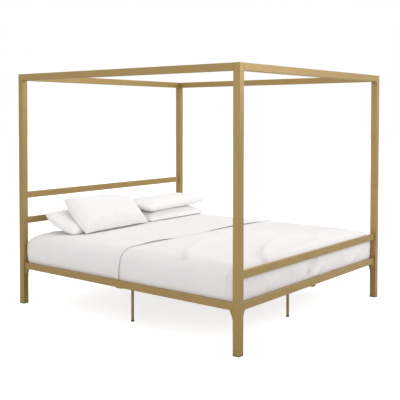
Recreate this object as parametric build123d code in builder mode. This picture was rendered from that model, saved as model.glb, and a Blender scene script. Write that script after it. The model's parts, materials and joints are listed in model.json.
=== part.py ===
"""King-size four poster canopy bed: square-tube posts and canopy, slat deck, mattress, sheets, pillows.

The frame stands on the floor at z = 0 with its origin under its middle. X runs across the bed and +Y points
to the head. Left is -X, as seen from the foot. All sizes are in millimetres.
"""

from build123d import *
import os

os.makedirs("parts", exist_ok=True)

# Outside sizes
bed_width = 2020.0
bed_length = 2130.0
bed_height = 1829.0

# Posts and canopy tube
post_side = 50.0
post_wall = 1.5
post_corner = 3.0
cap_plate = 2.0
glide_plate = 5.0
insert_depth = 16.0
sleeve_length = 160.0
seam_above_rail = 8.0

# Rails between the posts
rail_height = 50.0
rail_depth = 25.0
rail_wall = 1.5
rail_corner = 2.5
low_rail_bottom = 280.0
foot_top_rail_bottom = 478.0
head_mid_rail_bottom = 638.5
head_top_rail_bottom = 842.0

# Brackets that carry the low rails on the posts
bracket_plate = 3.0
bracket_rise = 14.0
bracket_drop = 60.0
gusset_reach = 28.0
gusset_toe = 5.0
gusset_lip = 3.0
gusset_sag = 2.0
gusset_wall = 2.5

# Bolts of the brackets
bolt_radius = 3.0
bolt_head_across = 10.0
bolt_head_height = 4.0
bolt_from_corner = 11.5
bolt_edge = 7.0
bolt_below_rail = 30.0
bolt_tail = 2.0
nut_height = 4.0
hole_clearance = 0.3
thread_clearance = 0.05
thread_sides = 8

# Plugs inside the canopy rails' ends, and sleeves inside the posts
plug_length = 60.0
plug_wall = 3.0

# Slat deck
slat_count = 14
slat_width = 40.0
slat_height = 15.0
slat_wall = 1.2
slat_corner = 2.5
deck_top = 305.0
ledge_width = 25.0
ledge_drop = 14.0
ledge_wall = 2.0

# Beams under the deck, and the hangers that hold their ends
centre_beam_side = 30.0
cross_beam_width = 40.0
cross_beam_height = 20.0
beam_wall = 1.5
beam_corner = 2.5
hanger_wall = 2.0
hanger_tray = 30.0
hanger_ear = 8.0

# Support legs
leg_radius = 10.0
leg_wall = 1.5
leg_cap = 3.0
leg_from_end = 257.0
leg_from_side = 181.0
stud_radius = 4.0
stud_length = 12.0
foot_height = 10.0
foot_rim = 1.5

# Bedding: the mattress fills the space between the rails but for a gap
mattress_side_gap = 7.5
mattress_end_gap = 11.5
mattress_thickness = 254.0
mattress_corner = 36.0
mattress_edge = 20.0
sheet_thickness = 1.5
sheet_hem = 3.0
sheet_fold_y = -40.0

# Pillows: size, and the thickness of the seamed edge
pillow_side_room = 145.0  # how much shorter a pillow is than half the mattress's width
pillow_depth = 360.0
pillow_edge = 12.0
pillow_flat = 0.55  # flat middle of a pillow's section, as a share of its length
pillow_shoulder = 0.82  # where the section's slope changes, as the same share
pillow_shoulder_rise = 0.7  # how much of the swell is reached at the shoulder

# Fits
slip_fit = 0.3
soft_gap = 0.3
end_play = 1.0

# Places worked out from the sizes above
half_width = bed_width / 2
half_length = bed_length / 2
post_x = half_width - post_side / 2
post_y = half_length - post_side / 2
inner_x = half_width - post_side
inner_y = half_length - post_side
rail_inset = (post_side - rail_depth) / 2
rail_inner_x = post_x - rail_depth / 2
rail_inner_y = post_y - rail_depth / 2
mattress_width = 2 * (rail_inner_x - mattress_side_gap)
mattress_length = 2 * (rail_inner_y - mattress_end_gap)
pillow_width = mattress_width / 2 - pillow_side_room
low_rail_top = low_rail_bottom + rail_height
post_bore = post_side - 2 * post_wall
post_seams = {
    "foot": foot_top_rail_bottom + rail_height + seam_above_rail,
    "head": head_top_rail_bottom + rail_height + seam_above_rail,
}
insert_side = post_bore - 2 * slip_fit
bearer_top = deck_top - slat_height
bolt_heights = (low_rail_top + bolt_edge, low_rail_bottom - bolt_below_rail)
SIDES = {"left": -1, "right": 1}
ENDS = {"foot": -1, "head": 1}


def save(builder, name):
    """Label a finished piece and write its file."""
    builder.part.label = name
    export_step(builder.part, f"parts/{name}.step")


def upright(x, y, z):
    """Plane at a point, facing up, with its X along the bed's X."""
    return Plane(origin=(x, y, z), x_dir=(1, 0, 0), z_dir=(0, 0, 1))


def across(point, run):
    """Upright plane at a point, facing along a level run, with its Y pointing up."""
    return Plane(origin=point, x_dir=Vector(0, 0, 1).cross(Vector(*run)), z_dir=run)


def tube(start, width, height, wall, corner, length):
    """Rectangular tube that starts on a plane and runs along its normal, width along the plane's X."""
    with BuildPart() as piece:
        with BuildSketch(start):
            RectangleRounded(width, height, corner)
            Rectangle(width - 2 * wall, height - 2 * wall, mode=Mode.SUBTRACT)
        extrude(amount=length)
    return piece


def bracket_bolt_seats(end, side):
    """Where the bracket bolts meet one post's two inner faces, with each face's outward direction."""
    sx, sy = SIDES[side], ENDS[end]
    bolt_x = sx * (inner_x + bolt_from_corner)
    bolt_y = sy * (inner_y + bolt_from_corner)
    seats = []
    for z in bolt_heights:
        seats.append(((bolt_x, sy * inner_y, z), (0, -sy, 0)))
        seats.append(((sx * inner_x, bolt_y, z), (-sx, 0, 0)))
    return seats


all_bolt_seats = [seat for end in ENDS for side in SIDES for seat in bracket_bolt_seats(end, side)]


# Lower posts: full tube from the glide to the seam above the top rail, drilled for the bracket bolts
for end, sy in ENDS.items():
    for side, sx in SIDES.items():
        start = upright(sx * post_x, sy * post_y, glide_plate)
        post_tube = tube(start, post_side, post_side, post_wall, post_corner, post_seams[end] - glide_plate)
        with BuildPart() as lower_post:
            add(post_tube.part)
            for seat, out in bracket_bolt_seats(end, side):
                with BuildSketch(across(seat, out)):
                    RegularPolygon(bolt_radius + hole_clearance, thread_sides)
                extrude(amount=-2 * post_wall, mode=Mode.SUBTRACT)
        save(lower_post, f"post_lower_{end}_{side}")

# Upper posts: stand on the lower ones and reach the caps
for end, sy in ENDS.items():
    for side, sx in SIDES.items():
        start = upright(sx * post_x, sy * post_y, post_seams[end])
        length = bed_height - cap_plate - post_seams[end]
        upper_post = tube(start, post_side, post_side, post_wall, post_corner, length)
        save(upper_post, f"post_upper_{end}_{side}")

# Sleeves: square tubes inside the posts that join the two lengths at each seam
with BuildPart() as post_sleeves:
    for end, sy in ENDS.items():
        for sx in SIDES.values():
            with BuildSketch(upright(sx * post_x, sy * post_y, post_seams[end] - sleeve_length / 2)):
                Rectangle(insert_side, insert_side)
                Rectangle(insert_side - 2 * plug_wall, insert_side - 2 * plug_wall, mode=Mode.SUBTRACT)
            extrude(amount=sleeve_length)
save(post_sleeves, "post_sleeves")

# Glides under the posts: a plate as wide as the tube, and a plug pushed up into it
for end, sy in ENDS.items():
    for side, sx in SIDES.items():
        with BuildPart() as glide:
            with BuildSketch(upright(sx * post_x, sy * post_y, 0)):
                RectangleRounded(post_side, post_side, post_corner)
            extrude(amount=glide_plate)
            with BuildSketch(upright(sx * post_x, sy * post_y, glide_plate)):
                Rectangle(insert_side, insert_side)
            extrude(amount=insert_depth)
        save(glide, f"post_glide_{end}_{side}")

# Caps that close the posts at the top, flush with the canopy
with BuildPart() as post_caps:
    for sy in ENDS.values():
        for sx in SIDES.values():
            plate = upright(sx * post_x, sy * post_y, bed_height - cap_plate)
            with BuildSketch(plate):
                RectangleRounded(post_side, post_side, post_corner)
            extrude(amount=cap_plate)
            with BuildSketch(plate.offset(-insert_depth)):
                Rectangle(insert_side, insert_side)
            extrude(amount=insert_depth)
save(post_caps, "post_caps")

# Canopy rails: square tube between the posts, flush with them
canopy_z = bed_height - post_side / 2
canopy_runs = {
    "canopy_rail_left": (across((-post_x, -inner_y, canopy_z), (0, 1, 0)), 2 * inner_y),
    "canopy_rail_right": (across((post_x, -inner_y, canopy_z), (0, 1, 0)), 2 * inner_y),
    "canopy_rail_foot": (across((-inner_x, -post_y, canopy_z), (1, 0, 0)), 2 * inner_x),
    "canopy_rail_head": (across((-inner_x, post_y, canopy_z), (1, 0, 0)), 2 * inner_x),
}
for name, (start, length) in canopy_runs.items():
    save(tube(start, post_side, post_side, post_wall, post_corner, length), name)

# Plugs: box sections welded to the posts' sides, over which the canopy rails slide
with BuildPart() as canopy_plugs:
    for start, length in canopy_runs.values():
        for plane in (start, start.offset(length - plug_length)):
            with BuildSketch(plane):
                Rectangle(insert_side, insert_side)
                Rectangle(insert_side - 2 * plug_wall, insert_side - 2 * plug_wall, mode=Mode.SUBTRACT)
            extrude(amount=plug_length)
save(canopy_plugs, "canopy_plugs")

# Upper cross rails, welded between the lower posts: two at the head and one at the foot
upper_rails = {
    "head_top_rail": (post_y, head_top_rail_bottom),
    "head_mid_rail": (post_y, head_mid_rail_bottom),
    "foot_top_rail": (-post_y, foot_top_rail_bottom),
}
for name, (y, bottom) in upper_rails.items():
    start = across((-inner_x, y, bottom + rail_height / 2), (1, 0, 0))
    save(tube(start, rail_depth, rail_height, rail_wall, rail_corner, 2 * inner_x), name)

# Low rails, welded between the plates of their end brackets
low_rail_z = low_rail_bottom + rail_height / 2
for side, sx in SIDES.items():
    start = across((sx * post_x, bracket_plate - inner_y, low_rail_z), (0, 1, 0))
    length = 2 * (inner_y - bracket_plate)
    save(tube(start, rail_depth, rail_height, rail_wall, rail_corner, length), f"side_rail_{side}")
for end, sy in ENDS.items():
    start = across((bracket_plate - inner_x, sy * post_y, low_rail_z), (1, 0, 0))
    length = 2 * (inner_x - bracket_plate)
    save(tube(start, rail_depth, rail_height, rail_wall, rail_corner, length), f"{end}_low_rail")


def rail_bracket(corner, run, out):
    """End bracket of a low rail: a bolt plate on the post, and under the rail a gusset pressed from sheet.

    corner is where the planes of the rail's outer face and the post's face meet, at floor level. run points
    along the rail, away from the post. out points from the rail's inner face to its outer one. The gusset's
    free edge is concave and turned in, and it is open towards the middle of the bed.
    """
    side_plane = Plane(origin=corner, x_dir=run, z_dir=Vector(run).cross(Vector(0, 0, 1)))
    inward = -side_plane.z_dir.dot(Vector(out))
    bottom = low_rail_bottom - bracket_drop
    plate_height = bracket_drop + rail_height + bracket_rise
    gusset_depth = post_side - rail_inset - bolt_from_corner - bolt_head_across / 2 - end_play
    outlines = []
    for wall in (0, gusset_wall):
        tip = (bracket_plate + gusset_reach - wall, low_rail_bottom - gusset_lip)
        toe = (bracket_plate + gusset_toe - wall, bottom)
        middle = ((tip[0] + toe[0]) / 2 - gusset_sag, (tip[1] + toe[1]) / 2 + gusset_sag / 2)
        back = [(bracket_plate, bottom), (bracket_plate, low_rail_bottom), (tip[0], low_rail_bottom)]
        outlines.append(([toe, *back, tip], (tip, middle, toe)))
    with BuildPart() as bracket:
        with BuildSketch(side_plane):
            with Locations((0, bottom)):
                Rectangle(bracket_plate, plate_height, align=(Align.MIN, Align.MIN))
        extrude(amount=inward * (post_side - rail_inset - post_corner))
        with BuildSketch(side_plane):
            with BuildLine():
                Polyline(*outlines[0][0])
                ThreePointArc(*outlines[0][1])
            make_face()
        extrude(amount=inward * gusset_depth)
        with BuildSketch(side_plane.offset(inward * gusset_wall)):
            with BuildLine():
                Polyline(*outlines[1][0])
                ThreePointArc(*outlines[1][1])
            make_face()
        extrude(amount=inward * gusset_depth, mode=Mode.SUBTRACT)
        bolt_line = Vector(corner) - Vector(out) * (post_side - rail_inset - bolt_from_corner)
        for z in bolt_heights:
            with BuildSketch(across(bolt_line + Vector(0, 0, z), run)):
                RegularPolygon(bolt_radius + hole_clearance, thread_sides)
            extrude(amount=bracket_plate, mode=Mode.SUBTRACT)
    return bracket


rail_outer_x = half_width - rail_inset
rail_outer_y = half_length - rail_inset
for side, sx in SIDES.items():
    pair = [rail_bracket((sx * rail_outer_x, sy * inner_y, 0), (0, -sy, 0), (sx, 0, 0)) for sy in (-1, 1)]
    with BuildPart() as side_brackets:
        add([bracket.part for bracket in pair])
    save(side_brackets, f"side_rail_brackets_{side}")
for end, sy in ENDS.items():
    pair = [rail_bracket((sx * inner_x, sy * rail_outer_y, 0), (-sx, 0, 0), (0, sy, 0)) for sx in (-1, 1)]
    with BuildPart() as end_brackets:
        add([bracket.part for bracket in pair])
    save(end_brackets, f"{end}_rail_brackets")

# Hexagon bolts through the bracket plates into the posts. Their threads are eight-sided, as are the holes for
# them, which keeps the repeated fasteners light
with BuildPart() as rail_bolts:
    for seat, out in all_bolt_seats:
        plate_face = across(seat, out).offset(bracket_plate)
        with BuildSketch(plate_face):
            RegularPolygon(bolt_head_across / 2, 6, major_radius=False, rotation=30)
        extrude(amount=bolt_head_height)
        with BuildSketch(plate_face):
            RegularPolygon(bolt_radius, thread_sides)
        extrude(amount=-(bracket_plate + post_wall + nut_height + bolt_tail))
save(rail_bolts, "rail_bolts")

# Nuts of those bolts, welded inside the posts
with BuildPart() as rail_nuts:
    for seat, out in all_bolt_seats:
        with BuildSketch(across(seat, out).offset(-post_wall)):
            RegularPolygon(bolt_head_across / 2, 6, major_radius=False, rotation=30)
            RegularPolygon(bolt_radius + thread_clearance, thread_sides, mode=Mode.SUBTRACT)
        extrude(amount=-nut_height)
save(rail_nuts, "rail_nuts")

# Slat ledges: steel angle welded inside each side rail, parted where the cross beam's hanger sits
ledge_gap = cross_beam_width / 2 + slip_fit + hanger_wall + hanger_ear + end_play
ledge_end = inner_y - bracket_plate - end_play
slat_reach = ledge_end - slat_width / 2
slat_rows = [slat_reach * (2 * row / (slat_count - 1) - 1) for row in range(slat_count)]
for side, sx in SIDES.items():
    with BuildPart() as ledge:
        for start_y in (-ledge_end, ledge_gap):
            with BuildSketch(across((sx * rail_inner_x, start_y, bearer_top), (0, 1, 0))):
                with BuildLine():
                    Polyline(
                        (0, 0),
                        (sx * ledge_width, 0),
                        (sx * ledge_width, -ledge_wall),
                        (sx * ledge_wall, -ledge_wall),
                        (sx * ledge_wall, -ledge_drop),
                        (0, -ledge_drop),
                        close=True,
                    )
                make_face()
            extrude(amount=ledge_end - ledge_gap)
    save(ledge, f"slat_ledge_{side}")

# Slats: channels with their open side down, lying on the ledges and the centre beam
slat_length = 2 * (rail_inner_x - end_play)
with BuildPart() as slats:
    with BuildSketch(across((-slat_length / 2, 0, deck_top), (1, 0, 0))) as section:
        with Locations(*[(y, 0) for y in slat_rows]):
            Rectangle(slat_width, slat_height, align=(Align.CENTER, Align.MAX))
        chamfer(section.vertices().group_by(Axis.Y)[-1], length=slat_corner)
        with Locations(*[(y, -slat_wall) for y in slat_rows]):
            inside = slat_width - 2 * slat_wall
            Rectangle(inside, slat_height, align=(Align.CENTER, Align.MAX), mode=Mode.SUBTRACT)
    extrude(amount=slat_length)
save(slats, "slats")

# Places of the support legs under the centre beam and under the cross beams
beam_leg_y = half_length - leg_from_end
side_leg_x = half_width - leg_from_side
leg_tops = {
    "leg_foot": (0, -beam_leg_y, bearer_top - centre_beam_side),
    "leg_centre": (0, 0, bearer_top - centre_beam_side),
    "leg_head": (0, beam_leg_y, bearer_top - centre_beam_side),
    "leg_left": (-side_leg_x, 0, bearer_top - cross_beam_height),
    "leg_right": (side_leg_x, 0, bearer_top - cross_beam_height),
}

# Centre beam: runs from the foot to the head, drilled below for the studs of three legs
beam_end = rail_inner_y - hanger_wall - end_play
with BuildPart() as centre_beam:
    with BuildSketch(across((0, -beam_end, bearer_top - centre_beam_side / 2), (0, 1, 0))):
        RectangleRounded(centre_beam_side, centre_beam_side, beam_corner)
        bore = centre_beam_side - 2 * beam_wall
        Rectangle(bore, bore, mode=Mode.SUBTRACT)
    extrude(amount=2 * beam_end)
    for name in ("leg_foot", "leg_centre", "leg_head"):
        with BuildSketch(upright(*leg_tops[name])):
            RegularPolygon(stud_radius + hole_clearance, thread_sides)
        extrude(amount=beam_wall, mode=Mode.SUBTRACT)
save(centre_beam, "centre_beam")

# Cross beams: from the side rails to the centre beam, each drilled below for one leg
cross_inner = centre_beam_side / 2 + hanger_wall + end_play
cross_outer = rail_inner_x - hanger_wall - end_play
for side, sx in SIDES.items():
    with BuildPart() as cross_beam:
        with BuildSketch(across((sx * cross_inner, 0, bearer_top - cross_beam_height / 2), (sx, 0, 0))):
            RectangleRounded(cross_beam_width, cross_beam_height, beam_corner)
            bore = (cross_beam_width - 2 * beam_wall, cross_beam_height - 2 * beam_wall)
            Rectangle(*bore, mode=Mode.SUBTRACT)
        extrude(amount=cross_outer - cross_inner)
        with BuildSketch(upright(*leg_tops[f"leg_{side}"])):
            RegularPolygon(stud_radius + hole_clearance, thread_sides)
        extrude(amount=beam_wall, mode=Mode.SUBTRACT)
    save(cross_beam, f"cross_beam_{side}")


def beam_hanger(point, run, width, height, top):
    """Hanger welded to a rail or beam: a back plate, and an open tray that the end of a beam drops into.

    point is on the carrying face, at the beam's top. run points along the beam, away from that face.
    """
    tray_width = width + 2 * slip_fit
    face = across(point, run)
    with BuildPart() as hanger:
        with BuildSketch(face):
            with Locations((0, -height - hanger_wall)):
                back_width = tray_width + 2 * (hanger_wall + hanger_ear)
                back_height = height + hanger_wall + top - bearer_top
                Rectangle(back_width, back_height, align=(Align.CENTER, Align.MIN))
        extrude(amount=hanger_wall)
        with BuildSketch(face):
            Rectangle(tray_width + 2 * hanger_wall, height + hanger_wall, align=(Align.CENTER, Align.MAX))
            Rectangle(tray_width, height, align=(Align.CENTER, Align.MAX), mode=Mode.SUBTRACT)
        extrude(amount=hanger_wall + hanger_tray)
    return hanger


# Hangers of the centre beam, on the low rails at the head and the foot
hanger_top = deck_top - end_play
for end, sy in ENDS.items():
    point = (0, sy * rail_inner_y, bearer_top)
    hanger = beam_hanger(point, (0, -sy, 0), centre_beam_side, centre_beam_side, hanger_top)
    save(hanger, f"centre_beam_hanger_{end}")

# Hangers of the cross beams, on the side rails and on the centre beam
for side, sx in SIDES.items():
    on_rail = (sx * rail_inner_x, 0, bearer_top)
    on_beam = (sx * centre_beam_side / 2, 0, bearer_top)
    outer = beam_hanger(on_rail, (-sx, 0, 0), cross_beam_width, cross_beam_height, hanger_top)
    inner = beam_hanger(on_beam, (sx, 0, 0), cross_beam_width, cross_beam_height, bearer_top)
    with BuildPart() as cross_hangers:
        add([outer.part, inner.part])
    save(cross_hangers, f"cross_beam_hangers_{side}")

# Support legs: round tube closed at the top, with a stud that goes up into the beam
for name, (x, y, top) in leg_tops.items():
    with BuildPart() as leg:
        with BuildSketch(upright(x, y, foot_height)):
            Circle(leg_radius)
            Circle(leg_radius - leg_wall, mode=Mode.SUBTRACT)
        extrude(amount=top - leg_cap - foot_height)
        with BuildSketch(upright(x, y, top - leg_cap)):
            Circle(leg_radius)
        extrude(amount=leg_cap)
        with BuildSketch(upright(x, y, top)):
            RegularPolygon(stud_radius, thread_sides)
        extrude(amount=stud_length)
    save(leg, f"support_{name}")

# Plastic feet under the legs
with BuildPart() as leg_feet:
    for x, y, _ in leg_tops.values():
        with BuildSketch(upright(x, y, 0)):
            Circle(leg_radius + foot_rim)
        extrude(amount=foot_height)
save(leg_feet, "leg_feet")


def bedding_block(grow, bottom):
    """The mattress's outline grown all round, from a height to the grown top, with its upper edge cut off."""
    top = mattress_bottom + mattress_thickness + grow
    with BuildPart() as block:
        with BuildSketch(upright(0, 0, bottom)):
            size = (mattress_width + 2 * grow, mattress_length + 2 * grow)
            RectangleRounded(*size, mattress_corner + grow)
        extrude(amount=top - bottom)
        chamfer(block.faces().sort_by(Axis.Z)[-1].edges(), length=mattress_edge)
    return block


# Mattress, just clear of the slats
mattress_bottom = deck_top + soft_gap
save(bedding_block(0, mattress_bottom), "mattress")

# Fitted sheet: a skin over the mattress's top and sides
fitted_inside = soft_gap
fitted_outside = fitted_inside + sheet_thickness
with BuildPart() as fitted_sheet:
    add(bedding_block(fitted_outside, mattress_bottom + sheet_hem).part)
    add(bedding_block(fitted_inside, mattress_bottom).part, mode=Mode.SUBTRACT)
save(fitted_sheet, "fitted_sheet")

# Top sheet: a skin over the fitted sheet, on the foot half of the bed only
top_inside = fitted_outside + soft_gap
top_outside = top_inside + sheet_thickness
with BuildPart() as top_sheet:
    add(bedding_block(top_outside, mattress_bottom + sheet_hem).part)
    add(bedding_block(top_inside, mattress_bottom).part, mode=Mode.SUBTRACT)
    split(bisect_by=Plane(origin=(0, sheet_fold_y, 0), z_dir=(0, -1, 0)))
save(top_sheet, "top_sheet")

# Pillows: for each one its seam's front left corner, as the distances right of the bed's middle, back from
# the head rail and up from the fitted sheet, then the way its front edge runs, its lean, and how far it
# swells below and above its seam
left_side = -mattress_width / 2
pillow_places = {
    "pillow_left_back": ((left_side + 159, 380, 6.5), (1, 0.02, 0), 21, 30, 32),
    "pillow_left_front": ((left_side + 238, 445, 4.8), (1, 0.0616, 0), 40, 12, 105),
    "pillow_right_lower": ((96, 381, 12.3), (1, 0.015, 0), 0, 12, 80),
    "pillow_right_upper": ((101, 376, 118.3), (1, 0.012, 0.01), 7, 37.9, 50),
}
bedding_top = mattress_bottom + mattress_thickness + fitted_outside


def pillow_bar(plane, length, below, above, reach):
    """Bar along the plane's normal with a pillow's section: blunt edges, sloping shoulders, flat middle."""
    half = length / 2
    edge = pillow_edge / 2
    under = [(-half, -edge), (-half * pillow_flat, -below), (half * pillow_flat, -below), (half, -edge)]
    shoulder = half * pillow_shoulder
    shoulder_height = edge + (above - edge) * pillow_shoulder_rise
    over = [(half, edge), (shoulder, shoulder_height), (half * pillow_flat, above)]
    mirrored = [(-x, y) for x, y in reversed(over)]
    with BuildPart() as bar:
        with BuildSketch(plane):
            with BuildLine():
                Polyline(*under, *over, *mirrored, close=True)
            make_face()
        extrude(amount=reach, both=True)
    return bar


for name, ((x, back, up), front_edge, lean, below, above) in pillow_places.items():
    corner = Vector(x, rail_inner_y - back, bedding_top + up)
    along = Vector(*front_edge).normalized()
    level_normal = along.cross(Vector(0, 0, 1).cross(along))
    seam = Plane(origin=corner, x_dir=along, z_dir=level_normal.rotate(Axis(corner, along), lean))
    middle = seam.from_local_coords(Vector(pillow_width / 2, pillow_depth / 2, 0))
    widthways = Plane(origin=middle, x_dir=seam.x_dir, z_dir=-seam.y_dir)
    depthways = Plane(origin=middle, x_dir=seam.y_dir, z_dir=seam.x_dir)
    with BuildPart() as pillow:
        add(pillow_bar(widthways, pillow_width, below, above, pillow_depth).part)
        add(pillow_bar(depthways, pillow_depth, below, above, pillow_width).part, mode=Mode.INTERSECT)
    save(pillow, name)
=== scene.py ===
"""King-size four poster canopy bed in gold powder-coated steel, made up with white cotton bedding."""

import json
from math import cos, pi, radians, sin

import bmesh
import bpy
import numpy as np
from mathutils import Matrix, Vector, noise
from mathutils.bvhtree import BVHTree


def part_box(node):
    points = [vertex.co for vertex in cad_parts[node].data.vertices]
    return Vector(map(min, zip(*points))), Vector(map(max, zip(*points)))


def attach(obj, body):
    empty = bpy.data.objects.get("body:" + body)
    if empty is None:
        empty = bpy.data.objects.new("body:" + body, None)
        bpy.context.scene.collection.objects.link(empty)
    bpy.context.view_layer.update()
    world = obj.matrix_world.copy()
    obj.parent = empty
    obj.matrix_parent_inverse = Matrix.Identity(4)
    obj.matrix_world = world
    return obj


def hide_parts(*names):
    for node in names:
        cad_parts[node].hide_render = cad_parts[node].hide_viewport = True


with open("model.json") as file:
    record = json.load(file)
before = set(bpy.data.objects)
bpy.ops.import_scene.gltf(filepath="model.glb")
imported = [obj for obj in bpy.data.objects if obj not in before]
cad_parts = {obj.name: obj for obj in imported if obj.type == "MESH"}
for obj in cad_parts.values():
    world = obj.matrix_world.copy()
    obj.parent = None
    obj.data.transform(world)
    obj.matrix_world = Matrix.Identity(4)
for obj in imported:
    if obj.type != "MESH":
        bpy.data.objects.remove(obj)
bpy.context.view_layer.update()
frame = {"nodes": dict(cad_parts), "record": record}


# ---------------------------------------------------------------------------------------------------------
# Posts and canopy: square steel tube, cut, drilled and welded in a jig. Each post comes in two lengths that
# meet at a flush seam over an inner sleeve, and takes a welded cap plate. The canopy's rails drop between
# the posts on steel plugs. Everything is sprayed with gold polyester powder and baked.


def hex_colour(code):
    """Linear RGBA of an sRGB hex colour."""
    channels = [int(code[i : i + 2], 16) / 255 for i in (0, 2, 4)]
    return [c / 12.92 if c <= 0.04045 else ((c + 0.055) / 1.055) ** 2.4 for c in channels] + [1.0]


def add_node(material, kind, settings, inputs):
    """Add a node. settings are its own properties, and inputs its sockets' values or what feeds them."""
    made = material.node_tree.nodes.new(kind)
    for name, value in settings.items():
        setattr(made, name, value)
    for name, value in inputs.items():
        if isinstance(value, bpy.types.NodeSocket):
            material.node_tree.links.new(value, made.inputs[name])
        else:
            made.inputs[name].default_value = value
    return made


def new_material(name, **shader_values):
    """A material with an empty look: its Principled shader, and Object coordinates in millimetres."""
    material = bpy.data.materials.new(name)
    material.use_nodes = True
    shader = material.node_tree.nodes["Principled BSDF"]
    for socket, value in shader_values.items():
        shader.inputs[socket.replace("_", " ")].default_value = value
    place = add_node(material, "ShaderNodeTexCoord", {}, {})
    in_mm = add_node(
        material, "ShaderNodeVectorMath", {"operation": "SCALE"}, {0: place.outputs["Object"], "Scale": 1000}
    )
    return material, shader, in_mm.outputs[0]


def link(material, output, socket):
    material.node_tree.links.new(output, socket)


def dress(nodes, material):
    """Give CAD nodes a finish."""
    for name in nodes:
        piece = frame["nodes"][name]
        piece.data.materials.clear()
        piece.data.materials.append(material)


def powder_coat(name, colour, dark, roughness, metallic):
    """Polyester powder coat over steel: a satin skin with faint orange peel, its shade drifting a little
    along each tube where the powder fell thicker, and a fine grain from its mica flakes."""
    material, shader, mm = new_material(name, Metallic=metallic)
    drift = add_node(material, "ShaderNodeTexNoise", {}, {"Vector": mm, "Scale": 1 / 160, "Detail": 2.0})
    shade = add_node(
        material,
        "ShaderNodeMix",
        {"data_type": "RGBA"},
        {0: drift.outputs["Fac"], 6: hex_colour(colour), 7: hex_colour(dark)},
    )
    flakes = add_node(material, "ShaderNodeTexNoise", {}, {"Vector": mm, "Scale": 1 / 1.6, "Detail": 1.0})
    sparkle = add_node(
        material, "ShaderNodeMapRange", {}, {"Value": flakes.outputs["Fac"], "To Min": 0.77, "To Max": 1.07}
    )
    grain = add_node(
        material,
        "ShaderNodeVectorMath",
        {"operation": "SCALE"},
        {0: shade.outputs[2], "Scale": sparkle.outputs[0]},
    )
    link(material, grain.outputs[0], shader.inputs["Base Color"])
    # Orange peel is 1 to 3 mm across, and stays shallow in a satin coat
    peel = add_node(material, "ShaderNodeTexNoise", {}, {"Vector": mm, "Scale": 1 / 2.8, "Detail": 1.5})
    gloss = add_node(
        material,
        "ShaderNodeMapRange",
        {},
        {"Value": drift.outputs["Fac"], "To Min": roughness - 0.04, "To Max": roughness + 0.05},
    )
    link(material, gloss.outputs[0], shader.inputs["Roughness"])
    bump = add_node(
        material, "ShaderNodeBump", {}, {"Height": peel.outputs["Fac"], "Strength": 0.16, "Distance": 0.0006}
    )
    link(material, bump.outputs[0], shader.inputs["Normal"])
    return material


gold_coat = powder_coat("gold_satin_powder_coat", "B4965D", "A78A53", 0.42, 0.4)
deck_coat = powder_coat("gold_deck_powder_coat", "A58A55", "957A48", 0.5, 0.35)
slots = {s["node"]: s["material_slot"] for s in frame["record"]["subparts"]}
dress([n for n, slot in slots.items() if slot == "gold_paint"], gold_coat)
dress([n for n, slot in slots.items() if slot == "deck_steel"], deck_coat)


# ---------------------------------------------------------------------------------------------------------
# Joints: the rails are welded to the posts with a rippled bead all round, painted over. The low rails' ends
# are bolted through pressed brackets, and the canopy's rails and the slats held by countersunk screws.

MM = 0.001


def finished(mesh, name, material, smooth=True):
    """An object at the origin from a bmesh."""
    data = bpy.data.meshes.new(name)
    mesh.to_mesh(data)
    mesh.free()
    data.materials.append(material)
    if smooth:
        data.shade_smooth()
    piece = bpy.data.objects.new(name, data)
    bpy.context.scene.collection.objects.link(piece)
    return piece


def add_cord(mesh, path, radius, sides=6, closed=False):
    """Adds a round cord along a path. Its radius is one value, or one for each point."""
    path = np.array(path)
    radii = np.broadcast_to(radius, len(path)).tolist()
    ahead = np.roll(path, -1, axis=0) - np.roll(path, 1, axis=0)
    if not closed:
        ahead[0], ahead[-1] = path[1] - path[0], path[-1] - path[-2]
    rings = []
    side = Vector(ahead[0]).orthogonal()
    for point, run, size in zip(path, ahead, radii):
        run = Vector(run).normalized()
        side = (side - run * side.dot(run)).normalized()
        up = run.cross(side)
        turns = [2 * pi * k / sides for k in range(sides)]
        rings.append([mesh.verts.new(Vector(point) + size * (side * cos(t) + up * sin(t))) for t in turns])
    pairs = list(zip(rings, rings[1:])) + ([(rings[-1], rings[0])] if closed else [])
    for ring, after in pairs:
        offset = 0
        if ring is rings[-1]:
            offset = min(range(sides), key=lambda k: (after[k].co - ring[0].co).length)
        for k in range(sides):
            j = (k + 1) % sides
            mesh.faces.new((ring[k], ring[j], after[(j + offset) % sides], after[(k + offset) % sides]))
    if not closed:
        mesh.faces.new(rings[0][::-1])
        mesh.faces.new(rings[-1])


def zinc_plate():
    """Bright zinc plating, faintly blue, its gloss broken by the grain of the wire that the screw was
    cold-headed from."""
    material, shader, mm = new_material("bright_zinc_plate", Metallic=1.0)
    grain = add_node(material, "ShaderNodeTexNoise", {}, {"Vector": mm, "Scale": 1 / 1.5, "Detail": 3.0})
    shade = add_node(
        material,
        "ShaderNodeMix",
        {"data_type": "RGBA"},
        {0: grain.outputs["Fac"], 6: hex_colour("C9CBCD"), 7: hex_colour("B4B6B8")},
    )
    link(material, shade.outputs[2], shader.inputs["Base Color"])
    gloss = add_node(
        material, "ShaderNodeMapRange", {}, {"Value": grain.outputs["Fac"], "To Min": 0.24, "To Max": 0.36}
    )
    link(material, gloss.outputs[0], shader.inputs["Roughness"])
    return material


def black_nylon():
    """Black injection-moulded nylon with a fine spark-eroded grain."""
    material, shader, mm = new_material("black_moulded_nylon", Roughness=0.55)
    shader.inputs["Base Color"].default_value = hex_colour("232325")
    grain = add_node(material, "ShaderNodeTexNoise", {}, {"Vector": mm, "Scale": 1 / 0.8, "Detail": 2.0})
    bump = add_node(
        material, "ShaderNodeBump", {}, {"Height": grain.outputs["Fac"], "Strength": 0.3, "Distance": 0.0003}
    )
    link(material, bump.outputs[0], shader.inputs["Normal"])
    return material


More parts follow.
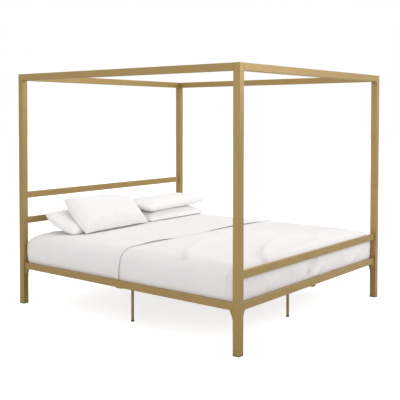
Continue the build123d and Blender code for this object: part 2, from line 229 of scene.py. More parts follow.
zinc = zinc_plate()
dress([n for n, slot in slots.items() if slot == "plated_steel"], zinc)
dress([n for n, slot in slots.items() if slot == "black_plastic"], black_nylon())

bead_radius, bead_stand_off = 2.3 * MM, 0.6 * MM
ripple_height, ripple_pitch = 0.25 * MM, 2.4 * MM
tube_corner = 3 * MM
for rail in ("foot_top_rail", "head_mid_rail", "head_top_rail"):
    rail_low, rail_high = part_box(rail)
    beads = bmesh.new()
    for end_x, inwards in ((rail_low[0], 1), (rail_high[0], -1)):
        loop = []
        for quarter, (y, z) in enumerate(((1, 1), (0, 1), (0, 0), (1, 0))):
            centre_y = (rail_low[1] + tube_corner, rail_high[1] - tube_corner)[y]
            centre_z = (rail_low[2] + tube_corner, rail_high[2] - tube_corner)[z]
            for turn in np.linspace(quarter * pi / 2, (quarter + 1) * pi / 2, 5):
                reach = tube_corner + bead_stand_off
                around = (centre_y + reach * cos(turn), centre_z + reach * sin(turn))
                loop.append((end_x + inwards * bead_stand_off, *around))
        loop = np.array(loop + loop[:1])
        gone = np.concatenate([[0], np.cumsum(np.linalg.norm(np.diff(loop, axis=0), axis=1))])
        steps = np.arange(0, gone[-1] - ripple_pitch / 6, ripple_pitch / 3)
        path = np.column_stack([np.interp(steps, gone, loop[:, k]) for k in range(3)])
        ripple = bead_radius + ripple_height * np.cos(steps * 2 * pi / ripple_pitch)
        add_cord(beads, path, ripple, sides=8, closed=True)
    weld = finished(beads, rail + "_welds", gold_coat)
    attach(weld, "root")


def add_screw(mesh, place, up, radius):
    """Adds a countersunk screw's head with a hexagon socket, flush with the face it is in.

    Its rings go from the rim under the face to the socket's floor: sides, share of the radius, height in mm.
    """
    stand = Matrix.Translation(place) @ Vector(up).to_track_quat("Z", "Y").to_matrix().to_4x4()
    rings = [
        bmesh.ops.create_circle(
            mesh,
            segments=segments,
            radius=radius * size,
            matrix=stand @ Matrix.Translation((0, 0, height * MM)),
            cap_ends=capped,
        )["verts"]
        for segments, size, height, capped in (
            (24, 1.0, -0.3, True),
            (24, 1.0, 0.05, False),
            (24, 0.94, 0.25, False),
            (6, 0.55, 0.25, False),
            (6, 0.5, 0.08, True),
        )
    ]
    for ring, after in zip(rings, rings[1:]):
        edges = {e for loop in (ring, after) for v in loop for e in v.link_edges if e.other_vert(v) in loop}
        bmesh.ops.bridge_loops(mesh, edges=list(edges))
    bmesh.ops.recalc_face_normals(mesh, faces=mesh.faces)


slat_count, half_slat = 14, 20 * MM
slat_screw_radius, slat_screw_inset = 4 * MM, 12 * MM
slats_low, slats_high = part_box("slats")
screws = bmesh.new()
for y in np.linspace(slats_low[1] + half_slat, slats_high[1] - half_slat, slat_count):
    for x in (slats_low[0] + slat_screw_inset, slats_high[0] - slat_screw_inset):
        add_screw(screws, (x, y, slats_high[2]), (0, 0, 1), slat_screw_radius)
piece = finished(screws, "slat_screws", zinc, smooth=False)
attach(piece, "root")

canopy_screw_radius, canopy_screw_inset = 5.5 * MM, 28 * MM
for side in ("foot", "head", "left", "right"):
    rail_low, rail_high = (Vector(corner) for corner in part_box("canopy_rail_" + side))
    middle = (rail_low + rail_high) / 2
    screws = bmesh.new()
    along = 0 if side in ("foot", "head") else 1
    for end in (rail_low[along] + canopy_screw_inset, rail_high[along] - canopy_screw_inset):
        place = Vector((middle.x, middle.y, rail_low.z))
        place[along] = end
        add_screw(screws, place, (0, 0, -1), canopy_screw_radius)
    piece = finished(screws, f"canopy_rail_{side}_screws", zinc, smooth=False)
    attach(piece, "root")


# ---------------------------------------------------------------------------------------------------------
# Mattress: a king-size foam and spring block in quilted polyester knit. It lies on the slats between the
# rails.

def gridded_block(low, high, step):
    """A closed box between two corners, its faces cut into a grid of about that step."""
    mesh = bmesh.new()
    bmesh.ops.create_cube(mesh, size=1)
    size = Vector(high) - Vector(low)
    bmesh.ops.scale(mesh, vec=size, verts=mesh.verts)
    bmesh.ops.translate(mesh, vec=(Vector(high) + Vector(low)) / 2, verts=mesh.verts)
    for axis in range(3):
        along = [e for e in mesh.edges if abs((e.verts[0].co - e.verts[1].co)[axis]) > 1e-7]
        cuts = round(size[axis] / step)
        bmesh.ops.subdivide_edges(mesh, edges=along, cuts=cuts, use_grid_fill=True)
    return mesh


def points_of(mesh):
    """A bmesh's points as an array."""
    return np.array([v.co for v in mesh.verts])


def move_to(mesh, points):
    for vertex, point in zip(mesh.verts, points):
        vertex.co = point


def soft_box(points, low, high, edge):
    """Moves the points of a box onto the same box with its top edges and its upright corners rounded off.

    The corners are drawn as a power curve, tighter than the top edge. Returns the points with their outward
    normals, and where each lay in the flat cloth, with the sides laid out level with the top.
    """
    middle = (low + high)[:2] / 2
    half = (high - low)[:2] / 2
    flat = points[:, :2] - middle
    sign = np.where(flat < 0, -1.0, 1.0)
    share = np.clip(1 - (half - np.abs(flat)) / edge, 0, 1)
    heading = share / np.maximum((share**6).sum(1) ** (1 / 6), 1e-9)[:, None]
    deep = high[2] - points[:, 2]
    turn = (share.max(1) + np.clip(deep / edge, 0, 1)) * pi / 4
    bent = half - edge + edge * heading * np.sin(turn)[:, None]
    level = np.where(share > 0, bent, np.abs(flat)) * sign + middle
    out = heading**5 * sign
    out /= np.maximum(np.linalg.norm(out, axis=1), 1e-9)[:, None]
    height = np.where(deep < edge, high[2] - edge * (1 - np.cos(turn)), points[:, 2])
    normals = np.column_stack([out * np.sin(turn)[:, None], np.cos(turn)])
    facing = np.where((share[:, 0] > share[:, 1])[:, None], [1.0, 0.0], [0.0, 1.0]) * sign
    cloth = points[:, :2] + facing * deep[:, None]
    return np.column_stack([level, height]), normals, cloth


def soft_relief(cloth, size, height, seed):
    """Slow, uneven swells over a cloth, of about that size and height."""
    return np.array([height * noise.noise(Vector((x / size, y / size, seed))) for x, y in cloth])


def filled_out(points, low, high, edge):
    """The soft box as a filled mattress takes it: crowned, sunk a little at its corners, slightly uneven, and
    swollen out over the rails, more at the sides than at the ends."""
    rim, rim_sink, corner_sink = 150 * MM, 7 * MM, 12 * MM
    side_swell, end_swell = 20 * MM, 5 * MM
    placed, normals, cloth = soft_box(points, low, high, edge)
    upward = np.clip(normals[:, 2], 0, 1)
    inward = np.clip((high - low)[:2] / 2 - np.abs(placed[:, :2] - (low + high)[:2] / 2), 0, None)
    placed[:, 2] -= upward * rim_sink * np.exp(-((inward.min(1) / rim) ** 2))
    placed[:, 2] -= upward * corner_sink * np.exp(-((inward**2).sum(1) / rim**2))
    rail_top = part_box("side_rail_left")[1][2]
    share = np.clip((placed[:, 2] - rail_top + 9 * MM) / (high[2] - 18 * MM - rail_top), 0, 1)
    swell = side_swell * normals[:, 0] ** 2 + end_swell * normals[:, 1] ** 2
    placed[:, :2] += normals[:, :2] * (swell * np.sin(pi * share) ** 0.8)[:, None]
    placed += normals * soft_relief(cloth, 0.38, 2.2 * MM, 3.1)[:, None]
    return placed, normals, cloth


def clear_of_frame(points, room):
    """Presses bedding back from the rails, so that it lifts out past them, and from the posts' inner corners,
    where it bridges the corner and needs more room."""
    over_low, beside_top, more_at_posts = 4 * MM, 8 * MM, 6.5 * MM
    rail_x = abs(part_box("side_rail_left")[1][0]) - room
    rail_y = abs(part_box("foot_low_rail")[1][1]) - room
    low_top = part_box("side_rail_left")[1][2]
    foot_bottom, foot_top = (corner[2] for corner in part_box("foot_top_rail"))
    height = points[:, 2]
    beside_low = height < low_top + over_low
    beside_foot = beside_low | ((height > foot_bottom - beside_top) & (height < foot_top + beside_top))
    points[:, 0] = np.where(beside_low, np.clip(points[:, 0], -rail_x, rail_x), points[:, 0])
    points[:, 1] = np.minimum(points[:, 1], rail_y)
    points[:, 1] = np.where(beside_foot, np.maximum(points[:, 1], -rail_y), points[:, 1])
    post_x, post_y = (abs(c) - room - more_at_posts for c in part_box("post_lower_foot_left")[1][:2])
    past_x, past_y = np.abs(points[:, 0]) - post_x, np.abs(points[:, 1]) - post_y
    inside = (past_x > 0) & (past_y > 0)
    points[:, 0] -= np.sign(points[:, 0]) * np.where(inside & (past_x < past_y), past_x, 0)
    points[:, 1] -= np.sign(points[:, 1]) * np.where(inside & (past_x >= past_y), past_y, 0)


def stitched_knit(name):
    """Quilted polyester knit ticking: matt, a shade off white, its ribs 2 mm wide and drawn at 4 mm so that
    they show, with quilting sewn in wavy lines 60 mm apart."""
    material, shader, mm = new_material(name, Roughness=0.9, Sheen_Weight=0.15)
    tone = add_node(material, "ShaderNodeTexNoise", {}, {"Vector": mm, "Scale": 1 / 90, "Detail": 3.0})
    shade = add_node(
        material,
        "ShaderNodeMix",
        {"data_type": "RGBA"},
        {0: tone.outputs["Fac"], 6: hex_colour("EAE7E2"), 7: hex_colour("E0DCD6")},
    )
    link(material, shade.outputs[2], shader.inputs["Base Color"])
    quilting = add_node(
        material,
        "ShaderNodeTexWave",
        {"bands_direction": "DIAGONAL", "wave_profile": "SIN"},
        {"Vector": mm, "Scale": 1 / 190, "Distortion": 2.0, "Detail": 0.0, "Detail Scale": 0.02},
    )
    ribs = add_node(
        material,
        "ShaderNodeTexWave",
        {"bands_direction": "Z", "wave_profile": "SIN"},
        {"Vector": mm, "Scale": 1 / 12.6, "Distortion": 0.4},
    )
    swell = add_node(
        material,
        "ShaderNodeBump",
        {},
        {"Height": quilting.outputs["Fac"], "Strength": 0.6, "Distance": 0.004},
    )
    weave = add_node(
        material,
        "ShaderNodeBump",
        {},
        {"Height": ribs.outputs["Fac"], "Strength": 0.3, "Distance": 0.0006, "Normal": swell.outputs[0]},
    )
    link(material, weave.outputs[0], shader.inputs["Normal"])
    return material


bedding_edge = 86 * MM
mattress_low, mattress_high = (np.array(corner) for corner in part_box("mattress"))
# The block is a little small, to stay under its sheet
mattress_low += np.array([3.5, 3.5, 0]) * MM
mattress_high -= np.array([3.5, 3.5, 2]) * MM
mattress_mesh = gridded_block(mattress_low, mattress_high, 30 * MM)
placed, _, _ = filled_out(points_of(mattress_mesh), mattress_low, mattress_high, bedding_edge)
clear_of_frame(placed, room=5 * MM)
move_to(mattress_mesh, placed)
ticking = stitched_knit("quilted_polyester_knit")
mattress = finished(mattress_mesh, "king_mattress", ticking)
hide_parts("mattress")
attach(mattress, "mattress")


# ---------------------------------------------------------------------------------------------------------
# Fitted sheet: white cotton percale, its four corners sewn to a box and its hem on elastic, pulled over the
# mattress. It stretches smooth over the top, puckers at the corners, and gathers at the hem.


def percale(name, white, cool, wrinkle):
    """Cotton percale: a plain weave of 0.3 mm threads, drawn at 1.6 mm so that it shows, matt with a faint
    sheen at grazing angles, its white drifting a touch cooler in broad patches, and lightly rumpled from the
    wash."""
    material, shader, mm = new_material(name, Roughness=0.85, Sheen_Weight=0.12, Sheen_Roughness=0.5)
    tone = add_node(material, "ShaderNodeTexNoise", {}, {"Vector": mm, "Scale": 1 / 140, "Detail": 3.0})
    shade = add_node(
        material,
        "ShaderNodeMix",
        {"data_type": "RGBA"},
        {0: tone.outputs["Fac"], 6: hex_colour(white), 7: hex_colour(cool)},
    )
    link(material, shade.outputs[2], shader.inputs["Base Color"])
    rumple = add_node(
        material, "ShaderNodeTexNoise", {}, {"Vector": mm, "Scale": 1 / 55, "Detail": 4.0, "Distortion": 0.6}
    )
    soft = add_node(
        material,
        "ShaderNodeBump",
        {},
        {"Height": rumple.outputs["Fac"], "Strength": wrinkle, "Distance": 0.006},
    )
    threads = [
        add_node(
            material,
            "ShaderNodeTexWave",
            {"bands_direction": direction, "wave_profile": "SIN"},
            {"Vector": mm, "Scale": 1 / 5.0, "Distortion": 0.5, "Detail": 0.0},
        )
        for direction in ("X", "Y")
    ]
    crossing = add_node(
        material,
        "ShaderNodeMath",
        {"operation": "MULTIPLY"},
        {0: threads[0].outputs["Fac"], 1: threads[1].outputs["Fac"]},
    )
    weave = add_node(
        material,
        "ShaderNodeBump",
        {},
        {"Height": crossing.outputs[0], "Strength": 0.25, "Distance": 0.0004, "Normal": soft.outputs[0]},
    )
    link(material, weave.outputs[0], shader.inputs["Normal"])
    return material


def ridge(cloth, route, width, height):
    """A soft fold along a route in mm over the flat cloth, steeper on its left, that rises quickly at its
    start and fades slowly at its end. Returns how far it lifts each point of the cloth."""
    route = np.array(route) * MM
    steps = np.linspace(0, len(route) - 1, 80)
    dense = np.column_stack([np.interp(steps, np.arange(len(route)), route[:, k]) for k in range(2)])
    far = np.linalg.norm(cloth[:, None] - dense[None], axis=2)
    nearest = far.argmin(1)
    along = steps[nearest] / steps[-1]
    fade = np.clip(np.minimum(along * 5, (1 - along) * 3), 0, 1)
    fade = fade * fade * (3 - 2 * fade)
    run = np.gradient(dense, axis=0)[nearest]
    offset = cloth - dense[nearest]
    steep = run[:, 0] * offset[:, 1] - run[:, 1] * offset[:, 0] > 0
    flank = np.where(steep, 0.75, 1.0) * width * MM
    return height * MM * fade * np.exp(-((far.min(1) / flank) ** 2))


def lay_sheet(mesh, low, high, folds, lift):
    """Where a sheet's points lie over the mattress with its folds in, raised by lift."""
    placed, normals, cloth = filled_out(points_of(mesh), low, high, bedding_edge)
    relief = np.full(len(cloth), lift)
    for route, width, height in folds:
        relief += ridge(cloth, route, width, height)
    placed += normals * relief[:, None]
    return placed, normals, cloth


sheet_cotton = percale("white_cotton_percale", "F2F0EF", "ECEAEA", 0.22)
fitted_thickness, fitted_room = 1.2 * MM, 2.6 * MM
gather_depth, gather_pitch, gather_reach = 1.2 * MM, 9 * MM, 18 * MM
fitted_low, fitted_high = (np.array(corner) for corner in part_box("fitted_sheet"))
fitted_mesh = gridded_block(fitted_low, fitted_high, 13 * MM)
underside = [f for f in fitted_mesh.faces if f.normal.z < -0.5]
bmesh.ops.delete(fitted_mesh, geom=underside, context="FACES")
# Each fold is a route in mm over the flat cloth, a width and a height
fitted_folds = [(((x, 950), (x + 40, 1110), (x + 60, 1250)), 22, 3) for x in (-640, -250, 310, 700)]
for sx in (-1, 1):
    for y, lean, depth in ((840, 60, 3.0), (572, -6, 4.5), (330, 30, 1.6), (120, -20, 1.8)):
        fitted_folds.append((((sx * 950, y), (sx * 1100, y + lean / 2), (sx * 1215, y + lean)), 15, depth))
    fitted_folds.append((((sx * 700, 1000), (sx * 830, 880), (sx * 960, 700)), 55, 4))
placed, normals, cloth = lay_sheet(fitted_mesh, fitted_low, fitted_high, fitted_folds, 0.0)
from_hem = placed[:, 2] - fitted_low[2]
gather = np.sin((cloth[:, 0] - cloth[:, 1]) / gather_pitch) * np.exp(-from_hem / gather_reach)
placed[:, :2] += normals[:, :2] * (gather * gather_depth)[:, None]
clear_of_frame(placed, fitted_room)
move_to(fitted_mesh, placed)
fitted_sheet = finished(fitted_mesh, "fitted_sheet_percale", sheet_cotton)
thickness = fitted_sheet.modifiers.new("cloth", "SOLIDIFY")
thickness.thickness = fitted_thickness
thickness.offset = -1
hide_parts("fitted_sheet")
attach(fitted_sheet, "mattress")

seam_step, seam_room, seam_radius = 7 * MM, 2.2 * MM, 1.1 * MM
corner_seams = bmesh.new()
for x, inwards_x in ((fitted_low[0], 1), (fitted_high[0], -1)):
    for y, inwards_y in ((fitted_low[1], 1), (fitted_high[1], -1)):
        upright = [(x, y, z) for z in np.arange(fitted_low[2] + 6 * MM, fitted_high[2], seam_step)]
        gone_in = np.arange(0, 70 * MM, seam_step)
        inward = [(x + inwards_x * d, y + inwards_y * d, fitted_high[2]) for d in gone_in]
        path, _, _ = filled_out(np.array(upright + inward), fitted_low, fitted_high, bedding_edge)
        clear_of_frame(path, seam_room)
        add_cord(corner_seams, path, seam_radius)
seams = finished(corner_seams, "fitted_sheet_corner_seams", sheet_cotton)
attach(seams, "mattress")


# ---------------------------------------------------------------------------------------------------------
# Top sheet: the same percale, laid over the foot half of the bed and tucked down inside the rails. Its hem is
# turned back on itself across the middle of the bed, stitched, and left to stand off in places.

cuff_depth = 34 * MM
top_thickness, top_room, cuff_lift = 1.6 * MM, 1.2 * MM, 2.4 * MM
# The stitched edge of the hem, from the left tuck to the right: x, y, and how far its free edge stands off
cuff_line = np.array(
    [
        (-1210, -4, 10), (-1135, -18, 8), (-1075, -27, 7), (-1027, -27, 5), (-987, -29, 4),
        (-925, -40, 3), (-857, -52, 3), (-789, -56, 5), (-701, -56, 9), (-609, -56, 10),
        (-509, -60, 6), (-425, -66, 1), (-330, -66, 0.2), (-200, -64, 0.2), (-40, -63, 0.4),
        (67, -63, 6), (339, -60, 10), (511, -74, 9), (620, -82, 7), (755, -92, 1), (900, -80, 2),
        (1075, -50, 7), (1210, -40, 9),
    ]
) * MM
top_low, top_high = (np.array(corner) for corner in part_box("top_sheet"))
whole_high = np.array([top_high[0], -top_low[1], top_high[2]])
top_mesh = gridded_block(top_low, whole_high, 10 * MM)
beyond = [
    f for f in top_mesh.faces if f.normal.z < -0.5 or f.calc_center_median().y > cuff_depth + 20 * MM
]
bmesh.ops.delete(top_mesh, geom=beyond, context="FACES")
top_folds = [
    (
        (
            (-960, -580), (-941, -564), (-865, -536), (-749, -480), (-621, -424), (-501, -376),
            (-385, -344), (-257, -324), (-125, -312), (0, -300), (211, -280), (400, -300),
        ),
        34,
        35,
    ),
    (
        (
            (-660, -1040), (-625, -1005), (-569, -955), (-397, -860), (-237, -792), (-65, -736),
            (87, -712), (235, -704), (363, -700), (460, -724),
        ),
        30,
        31,
    ),
    (((-1000, -900), (-880, -760), (-700, -690), (-500, -660)), 60, 5),
    (((180, -980), (330, -860), (520, -800), (760, -780)), 45, 6),
    (((60, -460), (300, -400), (560, -400), (830, -430)), 60, 5),
    (((-420, -160), (-150, -140), (150, -150), (420, -170)), 70, 3),
    (((-110, -1215), (-62, -1180), (-15, -1155), (40, -1128), (110, -1100)), 19, 27),
    (((-20, -1262), (55, -1220), (110, -1190), (180, -1160)), 19, 15),
    (((255, -1262), (320, -1212), (380, -1180), (440, -1158), (510, -1140)), 18, 25),
    (((-350, -1150), (-225, -1146), (-100, -1166)), 38, 8),
    (((540, -1262), (610, -1215), (690, -1175), (760, -1160)), 22, 14),
    (((-640, -1230), (-560, -1180), (-470, -1150)), 34, 7),
]
for sx in (-1, 1):
    top_folds.append((((sx * 975, -952), (sx * 1100, -948), (sx * 1225, -930)), 13, 9))
    top_folds.append((((sx * 985, -880), (sx * 1100, -890), (sx * 1225, -905)), 26, 5))
    top_folds.append((((sx * 990, -560), (sx * 1100, -580), (sx * 1220, -600)), 45, 4))
placed, normals, cloth = lay_sheet(top_mesh, top_low, whole_high, top_folds, 0.6 * MM)
head_edge = np.interp(cloth[:, 0], cuff_line[:, 0], cuff_line[:, 1]) + cuff_depth
# The rows past this line are drawn out or in, to end along the hem
eased_from = -0.3
stretch = (cloth[:, 1] - eased_from) / (cloth[:, 1].max() - eased_from)
eased = eased_from + stretch * (head_edge - eased_from)
placed[:, 1] = np.where(cloth[:, 1] > eased_from, eased, placed[:, 1])
clear_of_frame(placed, top_room)
move_to(top_mesh, placed)

# The turned-back hem, drawn along the bed's outline from one side's tuck to the other
outline = [(top_low[0], z) for z in np.arange(top_low[2] + 4 * MM, top_high[2], 8 * MM)]
outline += [(x, top_high[2]) for x in np.linspace(top_low[0], top_high[0], 240)]
outline += [(-x, z) for x, z in reversed(outline[: len(outline) - 240])]
stitched_at = 0.18
# Shares of the hem's depth, and of how far its free edge stands off
profile = ((0.0, 1.0), (stitched_at, 0.95), (0.35, 0.82), (0.6, 0.55), (0.82, 0.25), (0.95, 0.1), (1.0, 0.0))
spine = np.array([(x, -0.02, z) for x, z in outline])
_, _, spine_cloth = filled_out(spine, top_low, whole_high, bedding_edge)
rows = []
for across, lift in profile:
    at = np.interp(spine_cloth[:, 0], cuff_line[:, 0], cuff_line[:, 1]) + across * cuff_depth
    off = np.interp(spine_cloth[:, 0], cuff_line[:, 0], cuff_line[:, 2]) * lift + cuff_lift
    flat_spine = np.column_stack([spine[:, 0], at, spine[:, 2]])
    row, row_normals, row_cloth = filled_out(flat_spine, top_low, whole_high, bedding_edge)
    for route, width, height in top_folds:
        off += ridge(row_cloth, route, width, height)
    row += row_normals * off[:, None]
    clear_of_frame(row, top_room)
    rows.append([top_mesh.verts.new(point) for point in row])
    if across == stitched_at:
        stitch_row = row + row_normals * 0.4 * MM
for row, after in zip(rows, rows[1:]):
    for k in range(len(row) - 1):
        top_mesh.faces.new((row[k], row[k + 1], after[k + 1], after[k]))
bmesh.ops.recalc_face_normals(top_mesh, faces=top_mesh.faces)
top_sheet = finished(top_mesh, "top_sheet_percale", sheet_cotton)
thickness = top_sheet.modifiers.new("cloth", "SOLIDIFY")
thickness.thickness = top_thickness
thickness.offset = -1
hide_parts("top_sheet")
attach(top_sheet, "mattress")

stitching = bmesh.new()
gone = np.concatenate([[0], np.cumsum(np.linalg.norm(np.diff(stitch_row, axis=0), axis=1))])
for start in np.arange(10 * MM, gone[-1] - 14 * MM, 5 * MM):
    # Each stitch is 3.4 mm long, in steps of half of that
    at = start + np.array([0, 1.7, 3.4]) * MM
    stitch = np.column_stack([np.interp(at, gone, stitch_row[:, k]) for k in range(3)])
    add_cord(stitching, stitch, 0.45 * MM, sides=4)
stitches = finished(stitching, "top_sheet_hem_stitches", sheet_cotton, smooth=False)
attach(stitches, "mattress")


# ---------------------------------------------------------------------------------------------------------
# Pillows: white cotton cases over polyester fibre, sewn flat with knife edges and then stuffed, so the sides
# pull in between the corners and the cloth puckers along the seams. The left pair leans, one on the other,
# against the headboard, and the right pair lies stacked.

pillow_cotton = percale("white_cotton_sateen_case", "FAF8F7", "F4F2F2", 0.3)


def stuffed_case(name, length, width, thickness, seed):
    """A case sewn flat and blown up, centred on the origin with its seam level, its ends along X. Returns it
    with its seam's points in order."""
    furthest = 28 * MM
    half = Vector((length / 2, width / 2, 5 * MM))
    mesh = gridded_block(-half, half, 12 * MM)
    points = points_of(mesh)
    across = points[:, :2] / np.array(half[:2])
    rim = np.where((np.abs(points[:, 2]) < 1e-6) & (np.abs(across).max(1) > 0.999))[0]
    seam_ring = rim[np.argsort(np.arctan2(across[rim, 1], across[rim, 0]))]
    lens = np.sqrt(np.clip((1 - across[:, 0] ** 4) * (1 - across[:, 1] ** 2), 0, 1))
    bumps = np.array([noise.noise(Vector((x * 9, y * 9, seed))) for x, y, _ in points])
    lift = lens * thickness / 2 * 0.8 + bumps * 3 * MM * lens
    points[:, 2] += np.sign(points[:, 2]) * lift
    points[:, 0] += across[:, 0] * 12 * MM * (1 - across[:, 1] ** 2)
    points[:, 1] += across[:, 1] * 6 * MM * (1 - across[:, 0] ** 4)
    move_to(mesh, points)
    case = finished(mesh, name, pillow_cotton)
    cloth = case.modifiers.new("stuffing", "CLOTH")
    cloth.settings.use_pressure = True
    cloth.settings.uniform_pressure_force = 4
    cloth.settings.effector_weights.gravity = 0
    cloth.settings.tension_stiffness = 25
    cloth.settings.compression_stiffness = 25
    cloth.settings.bending_stiffness = 0.3
    before = np.array([v.co for v in case.data.vertices])
    for step in range(1, 21):
        bpy.context.scene.frame_set(step)
    evaluated = case.evaluated_get(bpy.context.evaluated_depsgraph_get())
    after = np.array([v.co for v in evaluated.data.vertices])
    moved = after - before
    far = np.linalg.norm(moved, axis=1)
    moved *= np.minimum(1, furthest / np.maximum(far, 1e-9))[:, None]
    case.modifiers.remove(cloth)
    case.data.vertices.foreach_set("co", (before + moved).astype(np.float32).ravel())
    bpy.context.scene.frame_set(1)
    return case, seam_ring


def lay_pillow(case, corners, above, below, bows, tapers):
    """Moves a case so that its seam spans four corners, front left first and then round, swelling that far
    above and below them, and out past the seam at its left end. The bows push its left end, right end and
    back edge outwards, and the tapers thin it towards its left and right ends."""
    points = np.array([v.co for v in case.data.vertices])
    size = points.max(0) - points.min(0)
    share = (points - points.min(0)) / size
    front_left, front_right, back_right, back_left = (np.array(c) * MM for c in corners)
    s, t = share[:, 0:1], share[:, 1:2]
    seam = (front_left * (1 - s) + front_right * s) * (1 - t) + (back_left * (1 - s) + back_right * s) * t
    run = (front_right - front_left) / np.linalg.norm(front_right - front_left)
    rise = (back_left - front_left) / np.linalg.norm(back_left - front_left)
    left_bow, right_bow, back_bow = (bow * MM for bow in bows)
    seam += run * (right_bow * s**3 - left_bow * (1 - s) ** 3) * 4 * t * (1 - t)
    seam += rise * back_bow * t**3 * 4 * s * (1 - s)
    normal = np.cross(back_right - front_left, back_left - front_right)
    normal /= np.linalg.norm(normal)
    rise = points[:, 2] / (size[2] / 2)
    taper = np.where(share[:, 0] < 0.5, tapers[0], tapers[1])
    full = np.abs(rise) ** 0.7 * (1 - taper * np.abs(2 * share[:, 0] - 1) ** 3)
    swell = np.where(rise > 0, full * above, -full * below) * MM
    plump = 13 * MM * np.clip(np.abs(rise[:, None]) * 3, 0, 1) * (1 - s) ** 12 * 4 * t * (1 - t)
    placed = seam + normal * swell[:, None] - run * plump
    case.data.vertices.foreach_set("co", placed.astype(np.float32).ravel())
    case.data.update()
    return placed


# Seam corners in mm, swell above and below, bows, tapers, and the seed of the case's unevenness
pillows = {
    "pillow_left_back": (
        ((-815, 640, 570), (5, 660, 570), (0, 985, 700), (-850, 945, 706)),
        56,
        56,
        (30, 0, 20),
        (0.1, 0.5),
        1.7,
    ),
    "pillow_left_front": (
        ((-738, 582, 571), (58, 629, 570), (112, 876, 772), (-722, 866, 816)),
        92,
        44,
        (10, -26, 26),
        (0.12, 0.5),
        4.9,
    ),
    "pillow_right_lower": (
        ((104, 646, 570), (900, 660, 570), (898, 1004, 580), (108, 1004, 580)),
        74,
        14,
        (0, 0, 0),
        (0.15, 0.15),
        8.2,
    ),
    "pillow_right_upper": (
        ((110, 651, 676), (918, 672, 692), (915, 1008, 714), (114, 1002, 712)),
        52,
        54,
        (6, 0, 0),
        (0.15, 0.15),
        12.6,
    ),
}


def rest_on(points, supports):
    """Lifts the points of a soft piece that would sink into what it lies on."""
    gap, deepest = 1.2 * MM, 120 * MM
    for tree in supports:
        for k, (x, y, z) in enumerate(points):
            hit = tree.ray_cast(Vector((x, y, z + deepest)), Vector((0, 0, -1)), deepest)
            if hit[0] is not None:
                points[k, 2] = hit[0].z + gap
            elif z < fitted_high[2]:
                points[k, 2] = fitted_high[2] + gap


def tree_of(piece):
    """The faces of an object at the origin, for finding what lies under a point."""
    corners = [v.co for v in piece.data.vertices]
    return BVHTree.FromPolygons(corners, [p.vertices for p in piece.data.polygons])


bed_tree = tree_of(fitted_sheet)
supports = {
    "pillow_left_back": (),
    "pillow_left_front": ("pillow_left_back",),
    "pillow_right_lower": (),
    "pillow_right_upper": ("pillow_right_lower",),
}
case_length, case_width, case_thickness = 0.86, 0.46, 0.16
trees = {}
for node, (corners, above, below, bows, tapers, seed) in pillows.items():
    pillow, seam_ring = stuffed_case(node + "_case", case_length, case_width, case_thickness, seed)
    placed = lay_pillow(pillow, corners, above, below, bows, tapers)
    rest_on(placed, [bed_tree] + [trees[name] for name in supports[node]])
    pillow.data.vertices.foreach_set("co", placed.astype(np.float32).ravel())
    pillow.data.update()
    trees[node] = tree_of(pillow)
    seam = bmesh.new()
    add_cord(seam, placed[seam_ring], 1.7 * MM, closed=True)
    piping = finished(seam, node + "_seam", pillow_cotton)
    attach(piping, node)
    smooth = pillow.modifiers.new("smooth", "SUBSURF")
    smooth.levels = smooth.render_levels = 1
    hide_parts(node)
    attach(pillow, node)


# ---------------------------------------------------------------------------------------------------------
# Studio: a white paper sweep in the even, soft light of a white room, with a broad lamp overhead, a stronger
# one past the foot on the right, and a weak one low on the left. The paper shows white but keeps shadows.

floor_mesh = bmesh.new()
bmesh.ops.create_grid(floor_mesh, x_segments=1, y_segments=1, size=40)
paper, paper_shader, _ = new_material("white_paper_sweep", Roughness=1.0)
floor = finished(floor_mesh, "floor", paper, smooth=False)
paper_shader.inputs["Base Color"].default_value = hex_colour("E4E4E4")
paper_shader.inputs["Specular IOR Level"].default_value = 0.0
ray = add_node(paper, "ShaderNodeLightPath", {}, {})
lit = add_node(
    paper, "ShaderNodeMath", {"operation": "MULTIPLY"}, {0: ray.outputs["Is Camera Ray"], 1: 0.72}
)
paper_shader.inputs["Emission Color"].default_value = (1, 1, 1, 1)
link(paper, lit.outputs[0], paper_shader.inputs["Emission Strength"])

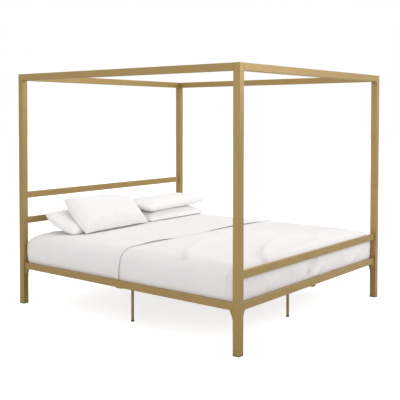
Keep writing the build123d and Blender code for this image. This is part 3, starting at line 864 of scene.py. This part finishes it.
world = bpy.data.worlds.new("white_room")
bpy.context.scene.world = world
world.use_nodes = True
sky = world.node_tree.nodes["Background"]
sky.inputs["Color"].default_value = (1, 1, 1, 1)
ray = add_node(world, "ShaderNodeLightPath", {}, {})
seen = add_node(
    world,
    "ShaderNodeMath",
    {"operation": "MAXIMUM"},
    {0: ray.outputs["Is Camera Ray"], 1: ray.outputs["Is Glossy Ray"]},
)
clear = add_node(
    world,
    "ShaderNodeMath",
    {"operation": "MAXIMUM"},
    {0: seen.outputs[0], 1: ray.outputs["Is Transmission Ray"]},
)
strength = add_node(
    world, "ShaderNodeMapRange", {}, {"Value": clear.outputs[0], "To Min": 0.77, "To Max": 1.0}
)
world.node_tree.links.new(strength.outputs[0], sky.inputs["Strength"])


def soft_lamp(name, place, target, size, watts):
    lamp = bpy.data.lights.new(name, "AREA")
    lamp.shape = "DISK"
    lamp.size = size
    lamp.energy = watts
    holder = bpy.data.objects.new(name, lamp)
    holder.location = place
    holder.rotation_euler = (Vector(target) - Vector(place)).to_track_quat("-Z", "Y").to_euler()
    bpy.context.scene.collection.objects.link(holder)


soft_lamp("overhead", (0.6, 0.6, 4.6), (0, 0.1, 0.5), 3.4, 42)
soft_lamp("foot_side", (2.6, -4.0, 2.9), (0, 0, 0.7), 2.0, 58)
soft_lamp("left_fill", (-6.0, 0.5, 0.9), (0, 0, 0.6), 2.5, 32)

# The camera has a long lens. It stands past the left foot post, above the bedding, and looks nearly level.
camera_data = bpy.data.cameras.new("camera")
camera_data.sensor_width = 36
camera_data.lens = 66.72
camera_data.shift_x = 0.0588
camera_data.shift_y = -0.1519
camera = bpy.data.objects.new("camera", camera_data)
heading, pitch = radians(50.557), radians(1.8)
camera.location = (-4.7716, -3.6580, 1.4984)
gaze = Vector((sin(heading) * cos(pitch), cos(heading) * cos(pitch), -sin(pitch)))
camera.rotation_euler = gaze.to_track_quat("-Z", "Y").to_euler()
bpy.context.scene.collection.objects.link(camera)
bpy.context.scene.camera = camera
bpy.context.scene.view_settings.view_transform = "Standard"
